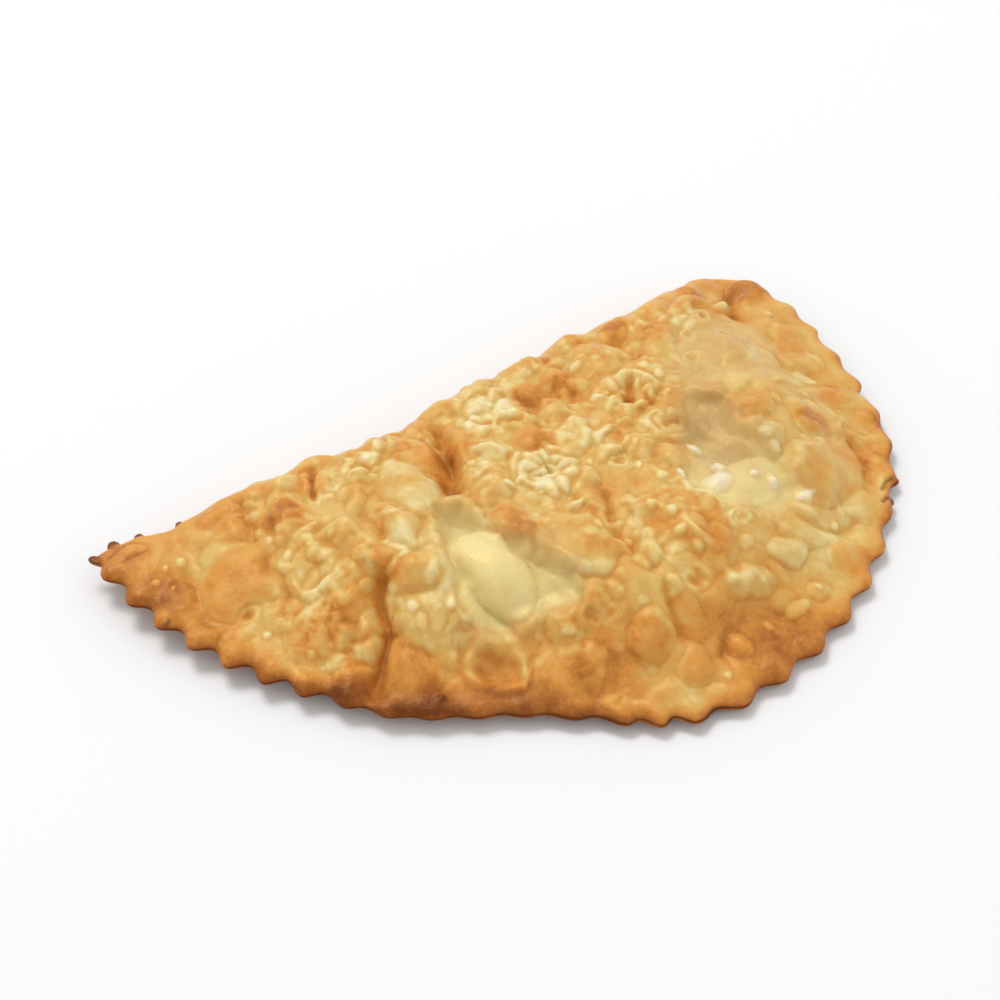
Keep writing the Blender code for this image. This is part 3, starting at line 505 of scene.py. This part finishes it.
# Curls of the lower leaf: x, y and how far they stick out. The left tip's come first: those bend up and are
# coloured dark.
LOWER_CURLS = (
    (-95.5, 48.6, 1.6), (-89.5, 50, 1.8), (-83.5, 49.3, 1.7), (-74, 47.2, 1.5), (78, -22, 1.2),
    (74, -27, 1.3),
)
DARKENED_CURLS = 4
CURL_WIDTH = 1.5
CURL_RISE = 0.45
# Nicks in the edge: x, y and how far they cut in
NOTCHES = ((88, 40, 1.3), (89, 4.5, 1.1), (90, 26, 0.8), (84, -17, 1.0), (70, 53, 0.7), (82, 52, 0.8))
NOTCH_WIDTH = 1.2
# Where the lower leaf shows past the upper one, and by how much
LOWER_LEAF_ANGLES = (232.0, 246.0, 270.0, 281.0)
LOWER_LEAF_REACH = (0.0, 0.6, 0.8, 0.0)
# Dark slits of the rim: width, depth, then the points they run through
RIM_SLITS = (
    (0.45, 1.0, ((74, -24), (76, -22.7), (78, -22.2))), (0.45, 1.0, ((71, -27.4), (73.5, -26.5))),
    (0.45, 0.6, ((-90, 22.5), (-88.5, 23.2))),
)
# How strongly the rim browned round the arc, how far in that reaches, and the level it browned to
RIM_BROWNING_ANGLES = (180.0, 200.0, 215.0, 226.0, 235.0, 250.0, 260.0, 270.0, 285.0, 298.0, 320.0, 340.0,
                       360.0)
RIM_BROWNING = (0.6, 0.65, 1.0, 1.5, 1.8, 1.2, 0.7, 0.4, 0.9, 0.6, 0.6, 0.5, 0.4)
RIM_BROWNING_WIDTH = (13.0, 11.0, 7.0, 9.0, 11.0, 9.0, 6.0, 6.0, 14.0, 6.0, 4.0, 4.0, 3.5)
RIM_LEVEL = 0.81
# The edge's cross-section from the upper leaf down to the lower: inset on the sealed side, inset on the
# fold, share of half the thickness, how much of a curl the level takes, and how browned it is
EDGE_SECTION = (
    (2.3, 1.5, 1.0, 0.0, 0.0), (1.4, 1.0, 0.93, 0.0, 0.05), (0.7, 0.6, 0.76, 0.0, 0.12),
    (0.2, 0.3, 0.5, 0.0, 0.3), (0.0, 0.1, 0.2, 0.3, 0.55), (SEAM_DEPTH, 0.0, 0.02, 0.8, 1.0),
    (SEAM_DEPTH, 0.0, -0.12, 0.9, 1.0), (0.15, 0.1, -0.26, 1.0, 0.8), (0.4, 0.3, -0.5, 1.0, 0.9),
    (0.9, 0.6, -0.74, 1.0, 0.85), (1.5, 1.0, -0.92, 0.9, 0.95), (2.3, 1.5, -1.0, 0.8, 1.0),
)
# Distance between the edge's points
EDGE_STEP = 0.56


def eased(values, reach, share):
    """Values round a closed ring, evened out over the given number of neighbours."""
    reach = max(1, int(round(reach)))
    weights = np.hanning(2 * reach + 3)[1:-1]
    around = np.concatenate([values[-reach:], values, values[:reach]])
    return values + (np.convolve(around, weights / weights.sum(), "valid") - values) * share


def plan_outline(step):
    """Even points round the plan, their outward directions, and how much each is on the fold and at a tip."""
    left = 180.0 + math.degrees(math.atan2(FOLD_MIDDLE[1] - FOLD_Y[0], FOLD_MIDDLE[0] - FOLD_X[0]))
    right = 360.0 + math.degrees(math.atan2(FOLD_Y[-1] - FOLD_MIDDLE[1], FOLD_X[-1] - FOLD_MIDDLE[0]))
    angle = np.linspace(left, right, 1800)
    reach = curve(angle, ARC_ANGLES, ARC_RADII)
    count = np.interp(angle, FLUTE_ANGLES, FLUTE_COUNTS)
    depth = np.interp(angle, FLUTE_DEPTH_ANGLES, FLUTE_DEPTHS)
    ends = smooth(left, left + 2, angle) * (1 - smooth(right - 3, right, angle))
    reach = reach + depth * ends * np.cos(2 * math.pi * count)
    turn = np.radians(angle)
    arc = np.stack([FOLD_MIDDLE[0] + reach * np.cos(turn), FOLD_MIDDLE[1] + reach * np.sin(turn)], -1)
    x = np.linspace(FOLD_X[-1], FOLD_X[0], 1000)
    waver = 0.5 * swell(x, 0 * x, 9, 21) * smooth(FOLD_X[0], -80, x) * (1 - smooth(80, FOLD_X[-1], x))
    fold = np.stack([x, curve(x, FOLD_X, FOLD_Y) + waver], -1)
    ring = np.concatenate([arc, fold, arc[:1]])
    on_fold = np.concatenate([np.zeros(len(arc)), np.ones(len(fold)), [0.0]])
    along = np.concatenate([[0.0], np.cumsum(np.hypot(*np.diff(ring, axis=0).T))])
    total = int(round(along[-1] / step))
    even = np.linspace(0, along[-1], total, endpoint=False)
    columns = [np.interp(even, along, v) for v in (ring[:, 0], ring[:, 1], on_fold)]
    tip = smooth(4.0, 0.5, np.abs(in_from_edges(columns[0], columns[1])).max(axis=0))
    points = np.stack([eased(v, CORNER_ROUND / step, np.maximum(tip, 0.15)) for v in columns[:2]], -1)
    broad = np.stack([eased(v, DIRECTION_SPAN / step, 1.0) for v in points.T], -1)
    tangent = np.roll(broad, -1, axis=0) - np.roll(broad, 1, axis=0)
    tangent = tangent / np.hypot(tangent[:, :1], tangent[:, 1:])
    return points, np.stack([tangent[:, 1], -tangent[:, 0]], -1), eased(columns[2], 2, 1.0), tip


def edge_rings(step):
    """The edge as closed rings of points, from the upper leaf round the rim to the lower leaf."""
    points, outward, on_fold, tip = plan_outline(step)
    angle, _ = round_the_middle(points[:, 0], points[:, 1])
    curl = np.interp(angle, LOWER_LEAF_ANGLES, LOWER_LEAF_REACH) * (1 - on_fold)
    for x, y, out in LOWER_CURLS:
        curl = curl + out * np.exp(-(np.hypot(points[:, 0] - x, points[:, 1] - y) / CURL_WIDTH) ** 4)
    notch = np.zeros(len(points))
    for x, y, cut in NOTCHES:
        notch = notch + cut * np.exp(-(np.hypot(points[:, 0] - x, points[:, 1] - y) / NOTCH_WIDTH) ** 2)
    plans = []
    for sealed_in, fold_in, _, curled, _ in EDGE_SECTION:
        inset = (sealed_in + (fold_in - sealed_in) * on_fold) * (1 - 0.6 * tip) - curl * curled + notch
        plans.append(points - outward * inset[:, None])
    upper = filled_height(*plans[0].T)
    lower = under_height(*plans[-1].T)
    middle = (upper + lower) / 2
    half = (upper - lower) / 2
    raised = CURL_RISE * curl * (points[:, 0] < 0)
    levels = [middle + share * half + curled * raised for _, _, share, curled, _ in EDGE_SECTION]
    return [np.column_stack(pair) for pair in zip(plans, levels)]


# The crust itself, one closed skin: upper leaf, edge and lower leaf in a single mesh, with the upper leaf
# blistered outwards. Marks kept on the mesh say where it browned, where shade and highlights are painted into
# its colour, and where the filling shows through.

# Distance between the points of each leaf
UPPER_STEP = 0.5
LOWER_STEP = 1.8
UNDERSIDE_BROWNING = 0.85
# How far the skin stays inside the solid's own box
BOX_CLEARANCE = 0.004
# Browning of plain dough, how much the blisters' own counts, and how much crests are painted paler as a
# highlight and hollows painted darker as shade
PLAIN_BROWNING = 0.41
BLISTER_SHARE = 0.44
RELIEF_LIGHT_AND_SHADE = 0.13


def held_skin(x, y, skin, small):
    """The blistered skin, held down where the rim is pressed together and drawn tight over the fold."""
    arc_in, fold_in = in_from_edges(x, y)
    held = smooth(-0.5, 8, arc_in) * (0.6 + 0.4 * smooth(-1, 5, fold_in))
    angle, _ = round_the_middle(x, y)
    flutes = np.cos(2 * math.pi * np.interp(angle, FLUTE_ANGLES, FLUTE_COUNTS))
    deep_flutes = np.interp(angle, FLUTE_DEPTH_ANGLES, FLUTE_DEPTHS)
    puffed = FLUTE_PUFF * flutes * deep_flutes * smooth(7.5, 2.5, arc_in)
    puffed = puffed * smooth(-2, 4, fold_in) - EDGE_DROP * (1 - rounding(arc_in, 4.5))
    return (skin - small) * held + small * (0.45 + 0.55 * held) * smooth(-1.5, 1, arc_in) + puffed


def leaf(ring, step, height):
    """Triangles filling a ring, with a staggered grid of points inside it."""
    total = len(ring)
    low = ring[:, :2].min(axis=0)
    high = ring[:, :2].max(axis=0)
    rows = np.arange(low[1], high[1], step * math.sqrt(0.75))
    columns = np.arange(low[0], high[0], step)
    grid = np.array([(x + (i % 2) * step / 2, y) for i, y in enumerate(rows) for x in columns])
    arc_in, fold_in = in_from_edges(*grid.T)
    grid = grid[(arc_in > -3) & (fold_in > -3)]
    grid = grid[inside_ring(grid, ring[:, :2], 0.62 * step)]
    plan = [Vector(p) for p in np.concatenate([ring[:, :2], grid])]
    rim = [(i, (i + 1) % total) for i in range(total)]
    _, _, faces, _, _, _ = delaunay_2d_cdt(plan, rim, [], 1, 1e-6)
    return np.column_stack([grid, height(*grid.T)]), faces


def inside_ring(points, ring, clearance):
    """Which points lie inside the ring and clear of it."""
    keep = np.zeros(len(points), bool)
    after = np.roll(ring, -1, axis=0)
    for start in range(0, len(points), 4000):
        p = points[start:start + 4000]
        gap = np.hypot(p[:, None, 0] - ring[None, :, 0], p[:, None, 1] - ring[None, :, 1]).min(axis=1)
        above = (ring[None, :, 1] > p[:, None, 1]) != (after[None, :, 1] > p[:, None, 1])
        rise = np.where(after[:, 1] == ring[:, 1], 1e-9, after[:, 1] - ring[:, 1])
        cross = ring[:, 0] + (p[:, None, 1] - ring[:, 1]) * (after[:, 0] - ring[:, 0]) / rise
        inside = (above & (p[:, None, 0] < cross)).sum(axis=1) % 2 == 1
        keep[start:start + 4000] = inside & (gap > clearance)
    return keep


def outward_normals(points, faces):
    """Each point's direction out of the skin."""
    corners = points[faces]
    facing = np.cross(corners[:, 1] - corners[:, 0], corners[:, 2] - corners[:, 0])
    corner_of = faces.ravel()
    sums = [np.bincount(corner_of, np.repeat(facing[:, i], 3), len(points)) for i in range(3)]
    normals = np.stack(sums, -1)
    return normals / np.linalg.norm(normals, axis=1)[:, None]


def averaged(values, faces, times):
    """Values evened out over the skin by averaging each point with its neighbours."""
    a = np.concatenate([faces[:, 0], faces[:, 1], faces[:, 2]])
    b = np.concatenate([faces[:, 1], faces[:, 2], faces[:, 0]])
    ties = np.bincount(a, minlength=len(values)) + np.bincount(b, minlength=len(values))
    for _ in range(times):
        total = np.bincount(a, values[b], len(values)) + np.bincount(b, values[a], len(values))
        values = 0.5 * values + 0.5 * total / ties
    return values


rings = edge_rings(EDGE_STEP)
around = len(rings[0])
points = [np.concatenate(rings)]
faces = []
for level in range(len(rings) - 1):
    for i in range(around):
        a = level * around + i
        b = level * around + (i + 1) % around
        faces.append((a, a + around, b + around))
        faces.append((a, b + around, b))
last = len(rings) - 1
counts = []
for level, step, height in ((0, UPPER_STEP, filled_height), (last, LOWER_STEP, under_height)):
    inner, triangles = leaf(rings[level], step, height)
    start = sum(len(p) for p in points)
    points.append(inner)
    counts.append(len(inner))
    for triangle in triangles:
        t = [level * around + v if v < around else start + v - around for v in triangle]
        faces.append(tuple(t) if level == 0 else tuple(reversed(t)))
points = np.concatenate(points)
faces = np.array(faces)
upper_leaf = np.zeros(len(points))
for level, (_, _, share, _, _) in enumerate(EDGE_SECTION):
    upper_leaf[level * around:(level + 1) * around] = np.clip(share * 1.1 - 0.1, 0, 1)
upper_leaf[(last + 1) * around:(last + 1) * around + counts[0]] = 1.0

x, y = points[:, 0].copy(), points[:, 1].copy()
arc_in, fold_in = in_from_edges(x, y)
skin, small, browning_and_shade, pane, deep, white = blistered_leaf(x, y)
skin = held_skin(x, y, skin, small)
slit = np.zeros(len(points))
for width, depth, line in RIM_SLITS:
    near = np.exp(-(off_line(x, y, line) / width) ** 2)
    slit = np.maximum(slit, 0.7 * near)
    skin = skin - depth * near
points = points + outward_normals(points, faces) * (skin * upper_leaf)[:, None]

fine = skin - averaged(skin, faces, 12)
broad = averaged(skin, faces, 8) - averaged(skin, faces, 120)
# Painted light: crests of the fine relief are painted paler as a highlight, and its hollows darker as shade.
painted_highlight = np.clip(fine / 0.25, 0, 1) * (1 - smooth(0.3, 0.8, pane))
painted_shade = np.clip(-fine / 0.25, 0, 1)
angle, _ = round_the_middle(x, y)
rim_width = np.interp(angle, RIM_BROWNING_ANGLES, RIM_BROWNING_WIDTH)
rim = np.interp(angle, RIM_BROWNING_ANGLES, RIM_BROWNING)
rim = rim * (1 - smooth(0, 1, (arc_in + 1.2 * swell(x, y, 14, 31)) / rim_width))
browning_and_shade = PLAIN_BROWNING + BLISTER_SHARE * browning_and_shade + 0.08 * (1 - smooth(2, 12, fold_in))
browning_and_shade = browning_and_shade - RELIEF_LIGHT_AND_SHADE * painted_highlight + RELIEF_LIGHT_AND_SHADE * painted_shade
browning_and_shade = browning_and_shade + 0.06 * np.clip(broad / 0.8, -1, 1)
browning_and_shade = np.where(browning_and_shade < 0.5, browning_and_shade, 0.5 + 0.3 * np.tanh((browning_and_shade - 0.5) / 0.3))
browning_and_shade = browning_and_shade + (RIM_LEVEL - browning_and_shade) * rim
for level, (_, _, _, curled, baked) in enumerate(EDGE_SECTION):
    here = slice(level * around, (level + 1) * around)
    left = (1.0 - browning_and_shade[here]) * baked
    browning_and_shade[here] = browning_and_shade[here] + left * (1 - 0.5 * smooth(2, 8, arc_in[here]))
    for cx, cy, _ in LOWER_CURLS[:DARKENED_CURLS]:
        darkened = np.exp(-(np.hypot(x[here] - cx, y[here] - cy - 1.5) / 2.0) ** 4) * smooth(0.0, 0.6, curled)
        slit[here] = np.maximum(slit[here], darkened)
browning_and_shade[(last + 1) * around + counts[0]:] = UNDERSIDE_BROWNING
browning_and_shade = np.maximum(browning_and_shade, slit)

# The finer skin is fitted to the solid's own box.
low = points.min(axis=0)
high = points.max(axis=0)
cad_size = np.array([cad_high[i] - cad_low[i] for i in range(3)]) * 1000
fit = np.minimum((cad_size - BOX_CLEARANCE) / (high - low), 1.0)
centre = np.array([(cad_low[i] + cad_high[i]) * 500 for i in range(3)])
points = (points - (low + high) / 2) * fit + centre
points[:, 2] += cad_low[2] * 1000 - points[:, 2].min()
shift = centre - (low + high) / 2
mesh = bpy.data.meshes.new("crust_skin")
mesh.from_pydata((points / 1000).tolist(), [], faces.tolist())
mesh.polygons.foreach_set("use_smooth", [True] * len(mesh.polygons))
marks = {"browning_and_shade": browning_and_shade, "slit": slit}
marks.update(pane=pane * upper_leaf, deep=deep * upper_leaf, white=white * upper_leaf)
for name, values in marks.items():
    mesh.attributes.new(name, "FLOAT", "POINT").data.foreach_set("value", values.astype(np.float32))
crust = bpy.data.objects.new("crust_skin", mesh)
bpy.context.scene.collection.objects.link(crust)


# Fried dough: pale wheat gold where thin, orange where it blistered and brown at the rim, with a film of
# frying oil and fine pores. Thin panes let the filling show through as pale yellow. Painted shade greys the
# panes' hollows and darkens the creases, and painted highlights pale the crests.

# The dough's colours by how browned it is, from 0 to 1
DOUGH_COLOURS = (
    (0.0, (0.81, 0.72, 0.43)), (0.2, (0.75, 0.59, 0.26)), (0.42, (0.69, 0.43, 0.125)),
    (0.62, (0.67, 0.30, 0.06)), (0.8, (0.43, 0.145, 0.026)), (1.0, (0.17, 0.036, 0.004)),
)
FILLING_COLOURS = ((0.80, 0.66, 0.27), (0.90, 0.79, 0.41))
SHADED_PANE = (0.50, 0.32, 0.12)
WHITE_KNOB = (0.82, 0.79, 0.64)
DARK_DOUGH = (0.15, 0.06, 0.025)
# The oil film tints the gloss
FRYING_OIL = (1.0, 0.74, 0.38, 1.0)


def fried_dough():
    """The dough's material, which follows the marks kept on the mesh."""
    material = bpy.data.materials.new("fried_dough")
    material.use_nodes = True
    tree = material.node_tree
    link = tree.links.new
    shader = tree.nodes["Principled BSDF"]

    def add(kind, **settings):
        node = tree.nodes.new(kind)
        for key, value in settings.items():
            setattr(node, key, value)
        return node

    def mark(name):
        return add("ShaderNodeAttribute", attribute_name=name).outputs["Fac"]

    def maths(operation, a, b, clamp=False):
        node = add("ShaderNodeMath", operation=operation, use_clamp=clamp)
        for socket, value in zip(node.inputs, (a, b)):
            if isinstance(value, (int, float)):
                socket.default_value = value
            else:
                link(value, socket)
        return node.outputs[0]

    def mix(share, a, b):
        node = add("ShaderNodeMix", data_type="RGBA")
        for socket, value in ((node.inputs["Factor"], share), (node.inputs[6], a), (node.inputs[7], b)):
            if isinstance(value, tuple):
                socket.default_value = (*value, 1.0)
            else:
                link(value, socket)
        return node.outputs[2]

    def grain(scale, detail=3.0, roughness=0.55):
        node = add("ShaderNodeTexNoise")
        link(add("ShaderNodeTexCoord").outputs["Object"], node.inputs["Vector"])
        node.inputs["Scale"].default_value = scale
        node.inputs["Detail"].default_value = detail
        node.inputs["Roughness"].default_value = roughness
        return node.outputs["Fac"]

    mottle = maths("SUBTRACT", grain(140.0, 4.0, 0.6), 0.5)
    speckle = maths("SUBTRACT", grain(900.0, 2.0), 0.5)
    level = maths("ADD", mark("browning_and_shade"), maths("MULTIPLY", mottle, 0.55))
    level = maths("ADD", level, maths("MULTIPLY", speckle, 0.14), clamp=True)
    ramp = add("ShaderNodeValToRGB")
    link(level, ramp.inputs["Fac"])
    elements = ramp.color_ramp.elements
    while len(elements) < len(DOUGH_COLOURS):
        elements.new(0.5)
    for element, (place, colour) in zip(elements, DOUGH_COLOURS):
        element.position = place
        element.color = (*colour, 1.0)
    filling = mix(grain(160.0, 2.0), *FILLING_COLOURS)
    colour = mix(maths("MULTIPLY", mark("pane"), 0.85), ramp.outputs["Color"], filling)
    # Painted shade: the panes' hollows are mixed towards grey-brown, partly the grey of thin dough over the
    # filling.
    colour = mix(mark("deep"), colour, SHADED_PANE)
    colour = mix(maths("MULTIPLY", mark("white"), 0.6), colour, WHITE_KNOB)
    colour = mix(mark("slit"), colour, DARK_DOUGH)
    link(colour, shader.inputs["Base Color"])

    rough = maths("ADD", maths("MULTIPLY", grain(300.0, 3.0), 0.34), 0.2)
    rough = maths("SUBTRACT", rough, maths("MULTIPLY", mark("pane"), 0.1))
    link(rough, shader.inputs["Roughness"])
    shader.inputs["Specular IOR Level"].default_value = 0.36
    shader.inputs["Specular Tint"].default_value = FRYING_OIL
    shader.inputs["Subsurface Weight"].default_value = 0.8
    shader.inputs["Subsurface Radius"].default_value = (1.0, 0.5, 0.2)
    shader.inputs["Subsurface Scale"].default_value = 0.002
    shader.inputs["Coat Weight"].default_value = 0.02
    shader.inputs["Coat Roughness"].default_value = 0.2

    pores = maths("ADD", maths("MULTIPLY", grain(1500.0, 3.0), 0.4), grain(520.0, 3.0))
    bump = add("ShaderNodeBump")
    bump.inputs["Strength"].default_value = 0.4
    bump.inputs["Distance"].default_value = 0.0006
    link(pores, bump.inputs["Height"])
    link(bump.outputs["Normal"], shader.inputs["Normal"])
    return material


mesh.materials.append(fried_dough())
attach(crust, "root")
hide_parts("crust")


# Plain white table and soft studio light: a broad lamp high above and behind, a weak one at the front
# right, and an even white surround. Sizes here and at the camera are in metres.

TABLE_HALF = 3.0
TABLE_WHITE = (0.86, 0.86, 0.86, 1.0)
# Each lamp's name, place, size and power
LAMPS = (("key", (-0.1, 0.9, 1.7), 0.75, 17.0), ("fill", (0.5, -0.6, 0.6), 0.8, 0.6))
SURROUND_STRENGTH = 0.72


def plain_table():
    """A flat table that the underside rests on."""
    far = TABLE_HALF
    plate = bpy.data.meshes.new("table")
    plate.from_pydata([(-far, -far, 0), (far, -far, 0), (far, far, 0), (-far, far, 0)], [], [(0, 1, 2, 3)])
    table = bpy.data.objects.new("table", plate)
    bpy.context.scene.collection.objects.link(table)
    white = bpy.data.materials.new("table_white")
    white.use_nodes = True
    shader = white.node_tree.nodes["Principled BSDF"]
    shader.inputs["Base Color"].default_value = TABLE_WHITE
    shader.inputs["Roughness"].default_value = 0.9
    plate.materials.append(white)
    table.location.z = cad_low[2]


def soft_lamp(name, place, size, power):
    """A square lamp that faces the cheburek."""
    lamp = bpy.data.lights.new(name, "AREA")
    lamp.size = size
    lamp.energy = power
    holder = bpy.data.objects.new(name, lamp)
    bpy.context.scene.collection.objects.link(holder)
    holder.location = place
    holder.rotation_euler = (-Vector(place)).to_track_quat("-Z", "Y").to_euler()


plain_table()
for lamp in LAMPS:
    soft_lamp(*lamp)
surround = bpy.data.worlds.new("surround")
surround.use_nodes = True
sky = surround.node_tree.nodes["Background"]
sky.inputs["Color"].default_value = (1.0, 1.0, 1.0, 1.0)
sky.inputs["Strength"].default_value = SURROUND_STRENGTH
bpy.context.scene.world = surround
bpy.context.scene.view_settings.view_transform = "Standard"

# The camera: a long lens looking down on the cheburek from the front left, with its fold running up to
# the right across the picture.
CAMERA_ELEVATION = 47.0
CAMERA_TURN = 31.0
CAMERA_DISTANCE = 0.582
LOOK_AT = (-0.006, 0.018, 0.006)
turn = math.radians(CAMERA_TURN)
tilt = math.radians(CAMERA_ELEVATION)
ahead = Vector((math.sin(turn) * math.cos(tilt), math.cos(turn) * math.cos(tilt), -math.sin(tilt)))
up = Vector((math.sin(turn) * math.sin(tilt), math.cos(turn) * math.sin(tilt), math.cos(tilt)))
right = Vector((math.cos(turn), -math.sin(turn), 0.0))
lens = bpy.data.cameras.new("camera")
lens.lens = 90.0
lens.sensor_width = 36.0
camera = bpy.data.objects.new("camera", lens)
bpy.context.scene.collection.objects.link(camera)
spot = Vector(LOOK_AT) + Vector(shift / 1000) - ahead * CAMERA_DISTANCE
columns = (right, up, -ahead, spot)
camera.matrix_world = Matrix([[c[i] for c in columns] for i in range(3)] + [[0.0, 0.0, 0.0, 1.0]])
bpy.context.scene.camera = camera
